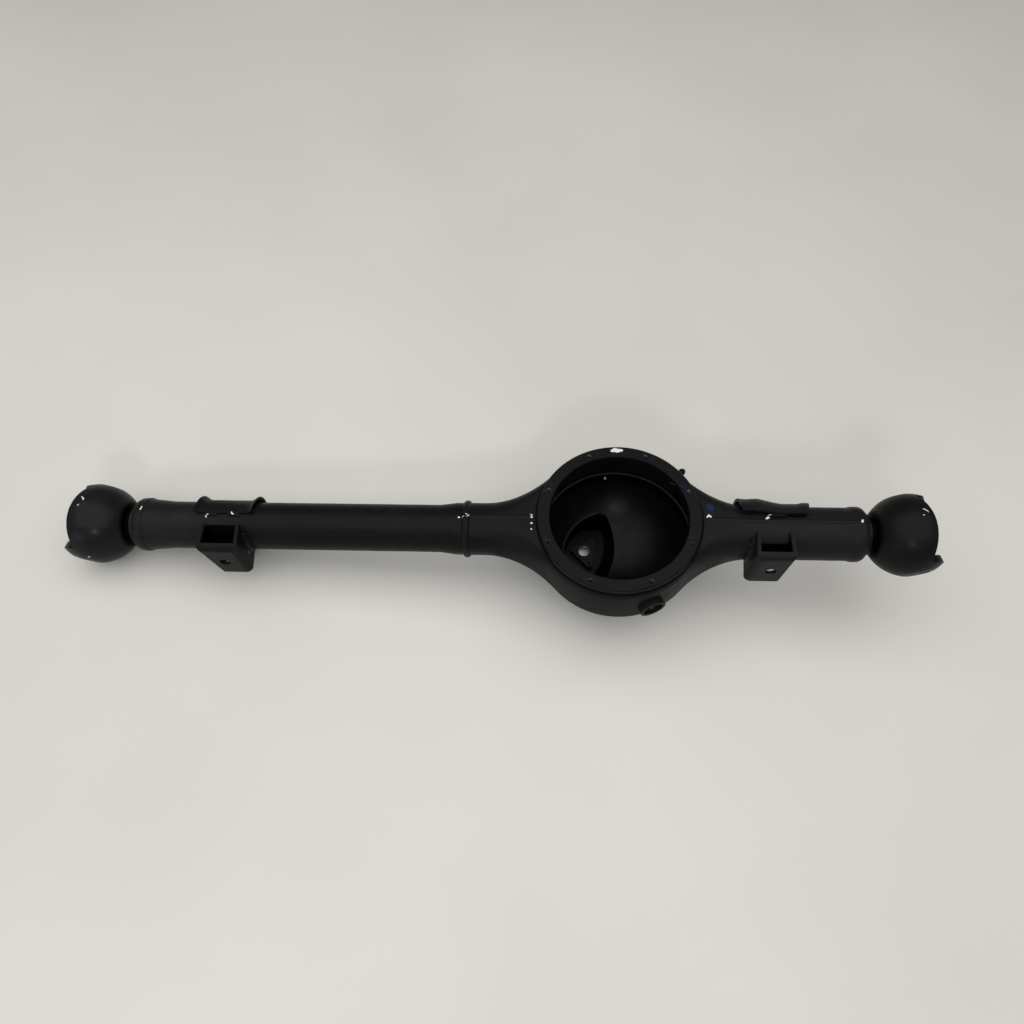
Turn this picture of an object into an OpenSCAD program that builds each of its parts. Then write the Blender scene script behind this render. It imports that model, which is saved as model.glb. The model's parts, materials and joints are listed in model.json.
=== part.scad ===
// Front axle housing of a small leaf-sprung four-wheel drive, banjo type, with a
// closed knuckle ball at each end. It lies as on a bench, carrier opening up:
// X runs along the axle, Y towards the top of the vehicle, Z out of the opening.
// The origin is the centre of the carrier face. Millimetres.

/* [Axle] */
// Distance between the centres of the two knuckle balls
ball_span = 1090; // [960:1:1240]
// Offset of the carrier from the middle of the axle
carrier_offset = 166.5; // [130:0.5:185]
// Distance between the centres of the two spring seats
spring_span = 719; // [660:1:760]
// Carrier centre to right spring seat centre
right_seat_x = 196; // [190:1:215]

/* [Banjo] */
// Radius of the round part of the banjo, seen from the front
banjo_r = 111; // [108:0.5:118]
// Half depth of the banjo along Z
banjo_half_depth = 39; // [37:0.5:46]
// Corner radius of the banjo section
banjo_corner = 13; // [10:0.5:18]
// Radius of the necks beside the banjo
neck_r = 35; // [33:0.5:37]
// Radius of the hollow curve from banjo to neck
flare_r = 128; // [115:1:140]
// Thickness of the pressed shells
shell_t = 5; // [4:0.25:6]
// Left end of the shells, from the carrier centre
shell_left = 197.5; // [190:0.5:215]

/* [Carrier ring] */
// Outer radius of the ring
ring_r = 106.8; // [106:0.1:108]
// Radius of the carrier opening
opening_r = 90.25; // [86:0.25:92]
// Radius of the part that drops into the shells
ring_spigot_r = 103.2; // [103:0.1:104]
// Height of the ring face above the shells
ring_proud = 4; // [3:0.5:7]
// Depth of the seat cut into the shells
ring_seat = 3; // [2:0.25:3.5]
// Depth of the spigot below the seat
ring_spigot = 6; // [4:0.5:9]
// Groove left around the ring
ring_groove = 1.2; // [0.6:0.1:2]
// Bolt circle radius
bolt_circle_r = 98.75; // [97.5:0.25:99]
// Number of bolts
bolt_count = 8; // [6:1:12]
// Tapped hole radius, M8
bolt_r = 3.4; // [3:0.1:4]
// Depth of the chamfer at each tapped hole
bolt_chamfer = 0.5; // [0.2:0.1:0.5]

/* [Dome] */
// Outer radius of the dome's rim
dome_r = 104.5; // [103:0.25:105.5]
// Sheet thickness of the dome
dome_t = 4; // [3:0.25:5]
// Rim edge inside the banjo, below the axle axis
dome_edge = 17; // [12:0.5:24]
// End of the straight rim, below the axle axis
dome_knee = 40.5; // [39.5:0.25:44]
// Lowest point of the dome, below the axle axis
dome_bottom = 102; // [96:0.5:112]
// Lowest point of the pressed plug pocket, below the axle axis
pocket_bottom = 108; // [104:0.5:116]
// Radius of the pocket's outer wall, about the carrier axis
pocket_r = 74; // [72:0.5:78]
// Radius of the pocket's floor on the side of the carrier axis
pocket_floor_r = 77.5; // [75:0.5:80]
// Radius of the pocket's mouth on the side of the carrier axis
pocket_mouth_r = 90; // [87:0.5:94]
// Height of the pocket's slanting top wall at the floor, above the carrier axis
pocket_top = 56.5; // [54:0.5:60]
// Radius of the pocket's lower end
pocket_end_r = 71; // [68:0.5:74]

/* [Plugs and breather] */
// Filler nut thickness
filler_t = 8; // [5:0.5:12]
// Filler thread radius, M18
filler_r = 8.2; // [7:0.1:9]
// Drain boss radius
drain_boss_r = 17; // [15:0.5:19]
// Drain thread radius, M20
drain_r = 9.25; // [8:0.25:10]
// Height of the drain boss over the shell
drain_proud = 6; // [4:0.5:9]
// Direction of the drain boss around the carrier axis
drain_angle = -68; // [-80:1:-60]
// Height of the drain boss over the axle axis
drain_z = -7; // [-8:0.5:-2]
// Breather nipple radius
breather_r = 4; // [3:0.25:5]
// Breather bore radius
breather_bore = 1.75; // [1:0.25:2.5]
// Length of the breather nipple over the shell
breather_proud = 11; // [6:0.5:14]
// Direction of the breather around the carrier axis
breather_angle = 42; // [36:1:50]
// Height of the breather over the axle axis
breather_z = 24; // [20:0.5:25]

/* [Tube and collars] */
// Outer radius of the left axle tube
tube_r = 32; // [30:0.25:33]
// Wall of the left axle tube
tube_t = 5; // [3.5:0.25:6]
// Outer radius of the collars at the balls
collar_r = 36.4; // [36:0.1:38]
// Width of the collars
collar_w = 13; // [11:0.5:16]
// Fall of the collars' rounded outer end
collar_nose = 2; // [0.5:0.25:3]
// Length of the swell from tube to collar
swell = 34; // [24:1:44]
// Collar face to ball centre
collar_gap = 61.5; // [60:0.25:66]

/* [Knuckle balls] */
// Outer radius of the balls
ball_r = 54.6; // [52:0.2:56]
// Wall of the balls
ball_t = 8.5; // [7:0.25:10]
// Inclination of the king-pin axis
kingpin_tilt = 11; // [6:0.5:13]
// Castor of the king-pin axis, its upper end towards the carrier face
kingpin_castor = 15; // [10:0.5:18]
// King-pin bore radius
kingpin_r = 14; // [12:0.25:15.5]
// Distance of the king-pin faces from the ball centre
kingpin_face = 52; // [51:0.25:53]
// Radius of the king-pin bosses inside the ball
boss_r = 21; // [19:0.25:23]
// Ball centre to the inner ends of those bosses
boss_inner = 40; // [38:0.25:43]
// Radius of the upper ear about the king-pin axis
upper_ear_r = 31.5; // [28:0.25:34]
// Radius of the lower ear at the surface of the ball
lower_ear_r = 32; // [30:0.25:36]
// Radius of the lower ear where it leaves the rim
lower_ear_waist = 28; // [24:0.25:29]
// Reach of the open rim past the ball centre
rim_reach = 14; // [11:0.5:17]
// Curve of the open rim
rim_curve = 125; // [100:1:160]
// Neck radius behind the ball
ball_neck_r = 25; // [23:0.5:27]
// Radius of the stop ring behind the neck
stop_r = 28.5; // [27.5:0.25:30]
// Bore for the axle shaft
shaft_r = 17.5; // [15:0.25:19]
// Length of the spigot in the tube
spigot_l = 13; // [9:0.5:14]

/* [Spring seats] */
// Axle axis to the spring face
seat_drop = 56; // [50:0.5:62]
// Width of the left seat at its wide end
left_seat_w = 55; // [48:0.5:60]
// Width of the right seat at its wide end
right_seat_w = 50; // [46:0.5:54]
// Half length of a seat along the spring
seat_half_l = 37.5; // [36:0.5:46]
// Length of a seat behind the axle axis
seat_rear_l = 30; // [28:0.5:34]
// Sheet thickness of a seat
seat_t = 4.5; // [3.5:0.25:5.5]
// Bend radius at the ends of a seat
seat_bend = 10; // [8:0.5:13]
// Lean of the left seat's inner wall towards the carrier over its length
left_lean = 0.5; // [0:0.5:6]
// Lean of the right seat's inner wall towards the carrier over its length
right_lean = 4; // [0:0.5:6]
// Spread of a seat's inner wall from its top to the spring face
seat_splay = 4; // [0:0.5:6]
// Radius of the lower edges of a seat's walls
seat_edge_r = 6; // [4.5:0.5:8]
// Radius of a seat's lower edge on the side of the carrier
inner_edge_r = 9; // [7:0.5:10]
// Axle axis to the top of a seat's walls
seat_top = 18; // [14:0.5:22]
// Radius of the spring's centre-pin hole
pin_r = 7; // [5:0.25:8]
// Taper of the left seat's outer wall over its length
left_taper = 13; // [4:0.5:16]
// Taper of the right seat's outer wall over its length
right_taper = 6.5; // [4:0.5:16]

/* [U-bolt saddles] */
// Sheet thickness of the left saddle
left_saddle_t = 2.5; // [2:0.25:4]
// Length of the left saddle
left_saddle_l = 78; // [70:1:92]
// Offset of the left saddle towards the ball
left_saddle_shift = 2; // [0:0.5:6]
// Length and rise of its flared lips
lip = [11, 5.5];
// Sheet thickness of the right saddle
right_saddle_t = 4; // [3:0.25:5]
// Length of the right saddle
right_saddle_l = 92; // [84:1:96]
// Offset of the right saddle towards the ball
right_saddle_shift = 8; // [4:0.5:10]
// Slant of the right saddle's end at the ball
right_saddle_slant = 17; // [0:1:22]
// Rise of the right saddle's raised end
saddle_rise = 6.5; // [4:0.5:9]
// Half angle covered by the left saddle
left_saddle_angle = 89; // [80:1:89]
// Half angle covered by the right saddle
right_saddle_angle = 77; // [68:1:84]

/* [Welds] */
// Height of the bead that joins tube and shells
bead_h = 3.6; // [2:0.1:5]
// Width of that bead over the tubes
bead_w = 10; // [8:0.5:14]
// Gap filled by that bead
bead_root = 5; // [3:0.5:6]
// Width and height of the seam welds
seam = [6, 1.2];
// Leg of the fillet welds at seats and saddles
fillet = 4; // [2.5:0.25:5]

/* [Hidden] */
$fn = 96;
paint = "#1d1d1f";
weld_paint = "#242426";

// Play between pieces that slide together before they are welded
fit = 0.1;
// Overlap of cutting tools past the faces they cut
past = 1;
// Flat left on a round section where straight runs vanish
flat = 0.5;
// Points on each quarter of a shell section, steps along the banjo and along each flare
quarter_steps = 8;
round_steps = 8;
flare_steps = 10;

face_height = banjo_half_depth + ring_proud;
left_reach = ball_span / 2 + carrier_offset;
right_reach = ball_span / 2 - carrier_offset;
left_seat_x = right_seat_x - spring_span;
shell_right = right_reach - collar_gap;
tube_left = collar_gap - left_reach;
tube_right = -shell_left - bead_root;
collar_step = 5;
nose_l = 6;
flare_x = sqrt(pow(banjo_r + flare_r, 2) - pow(neck_r + flare_r, 2));
tangent_x = flare_x * banjo_r / (banjo_r + flare_r);
round_end = asin(tangent_x / banjo_r);
ring_seat_z = banjo_half_depth - ring_seat;
dome_depth = dome_bottom - dome_knee;
dome_sphere_r = (dome_r * dome_r + dome_depth * dome_depth) / (2 * dome_depth);
dome_centre_z = dome_sphere_r - dome_bottom;
pocket_floor_at = [-90, 30];
pocket_mouth_at = [-82, 22];
pocket_end_at = [-35, 38];
filler_at = [-40, 17];
filler_corners = [[-54, 19], [-29, 32], [-33, -3]];
filler_corner_r = 5;
witness_hole_r = 1.75;
bowl_r = banjo_r - shell_t;
groove_slope = 0.4;

// Ease from 0 to 1
function ease(t) = let (u = min(1, max(0, t))) u * u * (3 - 2 * u);

// Swell of the shells' right end up to its collar
function collar_rise(x) =
    (collar_r - neck_r) * ease((x - shell_right + collar_w + collar_step) / collar_step);

// Fall of the outside, not of the bore, at the shells' right end
function nose_fall(x, wall) =
    wall > 0 ? 0 : collar_nose * pow(max(0, 1 + (x - shell_right) / nose_l), 2);

// How far a place along the axle is from banjo (0) to neck (1)
function neckness(x, from) = ease((abs(x) - from) / (flare_x - from));

// Half width of the shells set in by a wall, and half depth and corner radius of their outside
function half_width(x, wall) = let (a = abs(x), r = banjo_r - wall, f = flare_r + wall)
    a <= flare_x * r / (banjo_r + flare_r) ? sqrt(r * r - a * a) :
    a < flare_x ? neck_r + flare_r - sqrt(f * f - pow(flare_x - a, 2)) :
    neck_r - wall + collar_rise(x) - nose_fall(x, wall);
function half_depth(x, wall) =
    banjo_half_depth + (neck_r - banjo_half_depth) * neckness(x, tangent_x)
    - wall + collar_rise(x) - nose_fall(x, wall);
function corner(x, wall) =
    banjo_corner + (neck_r - flat - banjo_corner) * neckness(x, tangent_x / 2)
    - wall + collar_rise(x) - nose_fall(x, wall);

// Half section of the shells at x, from rear seam to front seam, set in by a wall
function half_section(x, wall) =
    let (w = half_width(x, wall), h = half_depth(x, wall), c = corner(x, wall),
         step = 90 / quarter_steps)
    concat([[x, 0, -h]],
           [for (a = [-90 : step : 0]) [x, w - c + c * cos(a), c - h + c * sin(a)]],
           [for (a = [0 : step : 90]) [x, w - c + c * cos(a), h - c + c * sin(a)]],
           [[x, 0, h]]);
function reversed(list) = [for (i = [len(list) - 1 : -1 : 0]) list[i]];
function shell_section(x) = concat(half_section(x, 0), reversed(half_section(x, shell_t)));

// Places along the right half of the banjo, from its middle to the neck
half_stations = concat(
    [for (i = [1 : round_steps]) banjo_r * sin(round_end * i / round_steps)],
    [for (i = [flare_steps - 1 : -1 : 0])
        flare_x - flare_r * sin(round_end * i / flare_steps)]);
collar_stations = [for (i = [0 : 3]) shell_right - collar_w - collar_step * (3 - i) / 3];
nose_stations = [for (i = [0 : 3]) shell_right - nose_l * (3 - i) / 3];
stations = concat([-shell_left], -1 * reversed(half_stations), [0], half_stations,
                  collar_stations, nose_stations);
neck_stations = [for (x = half_stations) if (x > ring_r + ring_groove + past) x];

// Solid skinned over closed sections that have the same number of points
module skin(sections, cap) {
    n = len(sections[0]);
    last = len(sections) - 1;
    polyhedron(
        points = [for (s = sections) for (p = s) p],
        faces = concat(
            [for (i = [0 : last - 1]) for (j = [0 : n - 1])
                let (k = (j + 1) % n, a = i * n, b = a + n)
                each [[a + j, b + k, a + k], [a + j, b + j, b + k]]],
            cap,
            [for (f = cap) [for (v = reversed(f)) v + last * n]]));
}

// Turned piece about the axle axis, from points given as radius and place along it
module turned(points) {
    rotate([0, 90, 0])
        rotate_extrude()
            polygon(points);
}

// Part of a turned piece, between two angles from the rear over the top to the front
module turned_part(points, from, to) {
    rotate([0, 90, 0])
        rotate([0, 0, from])
            rotate_extrude(angle = to - from)
                polygon(points);
}

// Modelled about the axle axis, placed under the carrier face
module on_axis() {
    translate([0, 0, -face_height])
        children();
}

// Moved to a direction around the carrier axis and turned to point outwards
module around(angle, z) {
    translate([0, 0, z])
        rotate([0, 90, angle])
            children();
}

// Pressed half shell with the seats for ring and dome cut in it
module half_shell() {
    half = 2 * quarter_steps + 4;
    difference() {
        skin([for (x = stations) shell_section(x)],
             [for (j = [0 : half - 2]) [j, j + 1, 2 * half - 2 - j, 2 * half - 1 - j]]);
        cylinder(r = ring_spigot_r + fit, h = face_height);
        translate([0, 0, ring_seat_z])
            cylinder(r = ring_r + ring_groove, h = face_height);
        translate([0, 0, -dome_knee])
            cylinder(r = dome_r + fit, h = dome_knee);
        dome_groove();
    }
}

// Cone cut at the rear edge of the shells for the dome weld
module dome_groove() {
    depth = dome_knee - banjo_half_depth + shell_t;
    translate([0, 0, -dome_knee])
        cylinder(r1 = dome_r + fit + depth * groove_slope, r2 = dome_r + fit, h = depth);
}

module upper_banjo_shell() {
    color(paint) on_axis() difference() {
        half_shell();
        around(breather_angle, breather_z)
            cylinder(r = breather_r + fit, h = 2 * banjo_r);
    }
}

module lower_banjo_shell() {
    color(paint) on_axis() difference() {
        mirror([0, 1, 0]) half_shell();
        around(drain_angle, drain_z)
            cylinder(r = drain_boss_r + fit, h = 2 * banjo_r);
    }
}

// Machined ring with the tapped bolt circle
module carrier_ring() {
    top_round = 1.5;
    color(paint) on_axis() difference() {
        rotate_extrude()
            polygon([[opening_r, ring_seat_z - ring_spigot],
                     [ring_spigot_r, ring_seat_z - ring_spigot],
                     [ring_spigot_r, ring_seat_z],
                     [ring_r, ring_seat_z],
                     [ring_r, face_height - top_round],
                     [ring_r - top_round, face_height],
                     [opening_r + bolt_chamfer, face_height],
                     [opening_r, face_height - bolt_chamfer]]);
        for (i = [0 : bolt_count - 1])
            rotate([0, 0, (i + 0.5) * 360 / bolt_count])
                translate([bolt_circle_r, 0, 0]) {
                    cylinder(r = bolt_r, h = face_height + past);
                    translate([0, 0, face_height - bolt_chamfer])
                        cylinder(r1 = bolt_r, r2 = bolt_r + bolt_chamfer, h = bolt_chamfer);
                }
    }
}

// Bowl of the dome, set in by a wall, open at the top
module dome_form(wall, top) {
    translate([0, 0, -dome_knee])
        cylinder(r = dome_r - wall, h = dome_knee - top);
    intersection() {
        translate([0, 0, dome_centre_z])
            sphere(r = dome_sphere_r - wall);
        translate([0, 0, -dome_bottom])
            cylinder(r = dome_r - wall, h = dome_depth);
    }
}

// Pressed-out pocket for the filler, set in by a wall
module pocket_form(wall) {
    slope = 3.4;
    lean = 24;
    tall = 46;
    big = 2 * pocket_mouth_r;
    floor_r = pocket_floor_r + wall * (slope - sqrt(1 + slope * slope));
    top = pocket_top + wall * (tan(lean) - 1 / cos(lean));
    translate([0, 0, wall - pocket_bottom])
        intersection() {
            cylinder(r = pocket_r - wall, h = tall);
            translate([0, top, 0])
                rotate([-lean, 0, 0])
                    translate([-big, -2 * big, -big])
                        cube(2 * big);
            translate(pocket_floor_at)
                cylinder(r1 = floor_r, r2 = floor_r + slope * tall, h = tall);
            translate(pocket_mouth_at)
                cylinder(r = pocket_mouth_r - wall, h = tall);
            translate(pocket_end_at)
                cylinder(r = pocket_end_r - wall, h = tall);
        }
}

module dome_cover() {
    color(paint) on_axis() difference() {
        union() {
            dome_form(0, dome_edge);
            pocket_form(0);
        }
        dome_form(dome_t, 0);
        pocket_form(dome_t);
        translate([filler_at.x, filler_at.y, -pocket_bottom - past])
            cylinder(r = filler_r + past, h = dome_t + 2 * past);
    }
}

// Triangular weld nut on the pocket's floor
module filler_nut() {
    color(paint) on_axis() translate([0, 0, dome_t - pocket_bottom]) difference() {
        linear_extrude(filler_t)
            hull()
                for (p = filler_corners)
                    translate(p)
                        circle(r = filler_corner_r, $fn = 32);
        translate([filler_at.x, filler_at.y, -past])
            cylinder(r = filler_r, h = filler_t + 2 * past);
        translate([filler_corners[2].x, filler_corners[2].y, -past])
            cylinder(r = witness_hole_r, h = filler_t + 2 * past);
    }
}

module drain_boss() {
    recess = 3;
    rim = 4;
    color(paint) on_axis() around(drain_angle, drain_z) difference() {
        translate([0, 0, dome_r + 2 * fit])
            cylinder(r = drain_boss_r, h = banjo_r + drain_proud - dome_r - 2 * fit);
        cylinder(r = drain_r, h = 2 * banjo_r);
        translate([0, 0, banjo_r + drain_proud - recess])
            cylinder(r = drain_boss_r - rim, h = recess + past);
    }
}

module breather_nipple() {
    barb = 1;
    tip = banjo_r + breather_proud;
    color(paint) on_axis() around(breather_angle, breather_z) difference() {
        rotate_extrude()
            polygon([[0, bowl_r - past], [breather_r, bowl_r - past], [breather_r, tip - 4],
                     [breather_r + barb, tip - 4], [breather_r - barb, tip], [0, tip]]);
        cylinder(r = breather_bore, h = 2 * tip);
    }
}

// Bent plate inside the banjo that keeps oil off the breather
module breather_baffle() {
    plate_t = 2;
    plate_w = 16;
    lip_h = 12;
    stand_off = 7;
    shelf_z = breather_z - breather_r - 9;
    color(paint) on_axis() rotate([0, 0, breather_angle])
        translate([bowl_r - stand_off - plate_t, -plate_w / 2, shelf_z - plate_t]) {
            cube([stand_off + plate_t - past / 2, plate_w, plate_t]);
            translate([0, 0, plate_t - lip_h])
                cube([plate_t, plate_w, lip_h]);
        }
}

// Tube wall follows its outside, which swells to a collar and to the bead
function tube_outside(wall) = [
    [collar_r - wall - (wall > 0 ? 0 : collar_nose), tube_left],
    [collar_r - wall - (wall > 0 ? 0 : collar_nose / 4), tube_left + nose_l / 2],
    [collar_r - wall, tube_left + nose_l], [collar_r - wall, tube_left + collar_w],
    [collar_r - 1.6 - wall, tube_left + collar_w + 2], [tube_r - wall, tube_left + collar_w + swell],
    [tube_r - wall, tube_right - swell], [neck_r - wall, tube_right - swell / 3],
    [neck_r - wall, tube_right]];

// Largest radius of the tube between two places on the axle
function tube_most(from, to) =
    let (outline = tube_outside(0), radii = [for (p = outline) [p.y, p.x]])
        max(concat([lookup(from, radii), lookup(to, radii)],
                   [for (p = outline) if (p.y > from && p.y < to) p.x]));

module left_axle_tube() {
    color(paint) on_axis()
        turned(concat(tube_outside(0), reversed(tube_outside(tube_t))));
}

// Turns the Y axis into the king-pin axis of a ball that opens to +X
module on_king_pin() {
    rotate([kingpin_castor, 0, 0])
        rotate([0, 0, kingpin_tilt])
            children();
}

// Ball in its own place, open to +X, spigot to -X
module knuckle_ball() {
    big = 2 * ball_r;
    spigot_r = collar_r - max(tube_t, shell_t) - 3 * fit;
    difference() {
        union() {
            difference() {
                union() {
                    sphere(r = ball_r);
                    turned([[0, 0], [ball_neck_r, 0], [ball_neck_r, 6 - collar_gap],
                            [stop_r, 6 - collar_gap], [stop_r, 1.5 - collar_gap],
                            [spigot_r, 1.5 - collar_gap], [spigot_r, -collar_gap - spigot_l],
                            [0, -collar_gap - spigot_l]]);
                }
                sphere(r = ball_r - ball_t);
            }
            on_king_pin()
                for (turn = [-90, 90])
                    rotate([turn, 0, 0])
                        translate([0, 0, boss_inner])
                            cylinder(r = boss_r, h = ball_r - ball_t - boss_inner);
        }
        rotate([0, 90, 0])
            cylinder(r = shaft_r, h = 4 * big, center = true);
        ball_opening();
        on_king_pin() {
            rotate([90, 0, 0])
                cylinder(r = kingpin_r, h = big, center = true);
            for (s = [-1, 1])
                translate([0, s * (kingpin_face + ball_r), 0])
                    cube(2 * ball_r, center = true);
        }
    }
}

// What is cut from the open side of a ball, all but the two ears
module ball_opening() {
    big = 2 * ball_r;
    waist_y = 20;
    flare = sqrt(ball_r * ball_r - lower_ear_r * lower_ear_r) - waist_y;
    difference() {
        rotate([0, 0, kingpin_tilt])
            difference() {
                translate([0, -big, -big])
                    cube(2 * big);
                translate([rim_reach - rim_curve, 0, 0])
                    cylinder(r = rim_curve, h = 3 * big, center = true);
            }
        on_king_pin() {
            rotate([-90, 0, 0])
                cylinder(r = upper_ear_r, h = big);
            rotate([90, 0, 0])
                translate([0, 0, waist_y])
                    cylinder(r1 = lower_ear_waist, r2 = 2 * lower_ear_r - lower_ear_waist, h = 2 * flare);
        }
    }
}

module left_knuckle_ball() {
    color(paint) on_axis() translate([-left_reach, 0, 0]) mirror([1, 0, 0]) knuckle_ball();
}

module right_knuckle_ball() {
    color(paint) on_axis() translate([right_reach, 0, 0]) knuckle_ball();
}

// Seat pressed from sheet, wide end to the front, tapered wall at +X
module spring_seat(carrier_r, seat_w, taper, lean) {
    difference() {
        seat_block(0, seat_w, taper, lean, seat_bend, -seat_top);
        seat_block(seat_t, seat_w, taper, lean, seat_bend - seat_t, 0);
        seat_window(seat_w, taper, lean);
        seat_edge(-seat_w / 2 - lean / 2, lean, 1, inner_edge_r);
        seat_edge(seat_w / 2 - taper / 2, taper, -1, seat_edge_r);
        rotate([0, 90, 0])
            cylinder(r = carrier_r, h = 2 * seat_w, center = true);
        rotate([90, 0, 0])
            cylinder(r = pin_r, h = 2 * seat_drop);
    }
}

// Everything to the +X side of the inner wall, set in by a wall
module inside_inner(wall, seat_w, lean) {
    big = 4 * seat_half_l;
    translate([wall - seat_w / 2 - lean / 2, -seat_drop, 0])
        rotate([0, atan(lean / (2 * seat_half_l)), 0])
            rotate([0, 0, -atan(seat_splay / (seat_drop - seat_top))])
                translate([0, -big, -big])
                    cube(2 * big);
}

// Everything to the -X side of the outer wall, set in by a wall
module inside_outer(wall, seat_w, taper) {
    big = 4 * seat_half_l;
    translate([seat_w / 2 - wall - taper / 2, 0, 0])
        rotate([0, atan(taper / (2 * seat_half_l)), 0])
            translate([-2 * big, -big, -big])
                cube(2 * big);
}

// Space between a seat's walls with a rounded lower front end, set in by a wall
module seat_block(wall, seat_w, taper, lean, bend, high) {
    front = seat_half_l - wall;
    rear = seat_rear_l - wall;
    low = wall - seat_drop;
    intersection() {
        inside_inner(wall, seat_w, lean);
        inside_outer(wall, seat_w, taper);
        rotate([90, 0, 90])
            linear_extrude(2 * seat_w, center = true) {
                translate([low + bend, -rear])
                    square([high - low - bend, rear + front]);
                translate([low, -rear])
                    square([bend, rear + front - bend]);
                translate([low + bend, front - bend])
                    circle(r = bend);
            }
    }
}

// Open ends of a seat over its bent lips
module seat_window(seat_w, taper, lean) {
    reach = seat_half_l + past;
    intersection() {
        inside_inner(seat_t, seat_w, lean);
        inside_outer(seat_t, seat_w, taper);
        translate([-seat_w, seat_bend - seat_drop, -reach])
            cube([2 * seat_w, seat_drop, 2 * reach]);
    }
}

// Rounds the lower edge of a wall that slants over the length of a seat
module seat_edge(x, slant, side, edge_r) {
    run = 4 * seat_half_l;
    translate([x, -seat_drop, 0])
        rotate([0, atan(slant / (2 * seat_half_l)), 0])
            difference() {
                translate([side * (edge_r - past) / 2, (edge_r - past) / 2, 0])
                    cube([edge_r + past, edge_r + past, run], center = true);
                translate([side * edge_r, edge_r, 0])
                    cylinder(r = edge_r, h = 2 * run, center = true);
            }
}

module left_spring_seat() {
    color(paint) on_axis() translate([left_seat_x, 0, 0]) mirror([1, 0, 0])
        spring_seat(tube_most(left_seat_x - left_seat_w / 2, left_seat_x + left_seat_w / 2) + fit,
                    left_seat_w, left_taper, left_lean);
}

module right_spring_seat() {
    color(paint) on_axis() translate([right_seat_x, 0, 0])
        spring_seat(neck_r + fit, right_seat_w, right_taper, right_lean);
}

// Half sleeve with flared lips, which follows the tube under it
module left_saddle() {
    x = left_seat_x - left_saddle_shift;
    e = left_saddle_l / 2;
    stations = [-e, lip.x / 2 - e, lip.x - e, e - lip.x, e - lip.x / 2, e];
    rise = [lip.y, lip.y / 3, 0, 0, lip.y / 3, lip.y];
    last = len(stations) - 1;
    inside = [for (i = [0:last])
        [tube_most(x + stations[max(0, i - 1)], x + stations[min(last, i + 1)]) + fit + rise[i],
         stations[i]]];
    outside = [for (p = inside) [p.x + left_saddle_t, p.y]];
    color(paint) on_axis() translate([x, 0, 0])
        turned_part(concat(inside, reversed(outside)),
                    90 - left_saddle_angle, 90 + left_saddle_angle);
}

// Heavier sleeve whose left end is raised over the banjo's flare
module right_saddle() {
    r = neck_r + fit;
    l = right_saddle_l;
    open_end = saddle_rise * 0.23;
    inside = [[r + saddle_rise, -0.5 * l], [r + saddle_rise * 0.85, -0.39 * l],
              [r + saddle_rise, -0.22 * l], [r + saddle_rise / 3, -0.02 * l], [r, 0.11 * l],
              [r, 0.35 * l], [r + open_end, 0.41 * l], [r + open_end, 0.5 * l]];
    outside = [for (p = inside) [p.x + right_saddle_t, p.y]];
    color(paint) on_axis() translate([right_seat_x + right_saddle_shift, 0, 0])
        difference() {
            turned_part(concat(inside, reversed(outside)),
                        90 - right_saddle_angle, 90 + right_saddle_angle);
            translate([l / 2, neck_r, 0]) rotate([0, 0, -right_saddle_slant])
                translate([0, -l, -l]) cube([l, 2 * l, 2 * l]);
        }
}

module tube_joint_weld() {
    left = tube_right;
    right = -shell_left;
    mid = (left + right) / 2;
    r = neck_r + fit;
    color(weld_paint) on_axis()
        turned([[neck_r - tube_t, left], [r, left], [r, mid - bead_w / 2],
                [r + bead_h * 0.7, mid - bead_w / 3], [r + bead_h, mid],
                [r + bead_h * 0.7, mid + bead_w / 3], [r, mid + bead_w / 2], [r, right],
                [neck_r - tube_t, right]]);
}

// Cone of weld between ball stop ring and collar face
module ball_weld() {
    spigot_r = collar_r - max(tube_t, shell_t) - 3 * fit;
    turned([[stop_r, 3 - collar_gap], [stop_r, 1.5 - collar_gap], [spigot_r, 1.5 - collar_gap],
            [spigot_r, -collar_gap], [collar_r - collar_nose, -collar_gap]]);
}

module left_ball_weld() {
    color(weld_paint) on_axis() translate([-left_reach, 0, 0]) mirror([1, 0, 0]) ball_weld();
}

module right_ball_weld() {
    color(weld_paint) on_axis() translate([right_reach, 0, 0]) ball_weld();
}

// Low bead over the joint of the shells, between two places on the axle
module seam_bead(places) {
    w = seam.x / 2;
    profile = [[-w, 0], [w, 0], [w * 0.6, seam.y * 0.8], [0, seam.y], [-w * 0.6, seam.y * 0.8]];
    skin([for (x = places) [for (p = profile) [x, p.x, half_depth(x, 0) + p.y]]], [[0, 1, 2, 3, 4]]);
}

module seam_welds() {
    seam_bead(concat(neck_stations, collar_stations, nose_stations));
    seam_bead(concat([bead_w / 2 - shell_left], -1 * reversed(neck_stations)));
}

module front_seam_weld() {
    color(weld_paint) on_axis() seam_welds();
}

module rear_seam_weld() {
    color(weld_paint) on_axis() mirror([0, 0, 1]) seam_welds();
}

module dome_weld() {
    depth = dome_knee - banjo_half_depth + shell_t;
    color(weld_paint) on_axis()
        rotate_extrude()
            polygon([[dome_r + fit, shell_t - banjo_half_depth],
                     [dome_r + fit + (depth - 1) * groove_slope, 1 - dome_knee],
                     [dome_r + fit + depth * groove_slope / 2, -dome_knee],
                     [dome_r + fit, -dome_knee]]);
}

// Fillet along the foot of a seat's inner wall, on the outside
module seat_fillet(carrier_r, seat_w, lean) {
    r = carrier_r + fit;
    x = -seat_w / 2;
    half = acos(seat_top / carrier_r) - 8;
    difference() {
        turned_part([[r, x - fillet], [r + 0.8 * fillet, x], [r + fillet, x + 2],
                     [r + fillet, x + 2 * fillet], [r, x + 2 * fillet]], 270 - half, 270 + half);
        inside_inner(-fit, seat_w, lean);
    }
}

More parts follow.
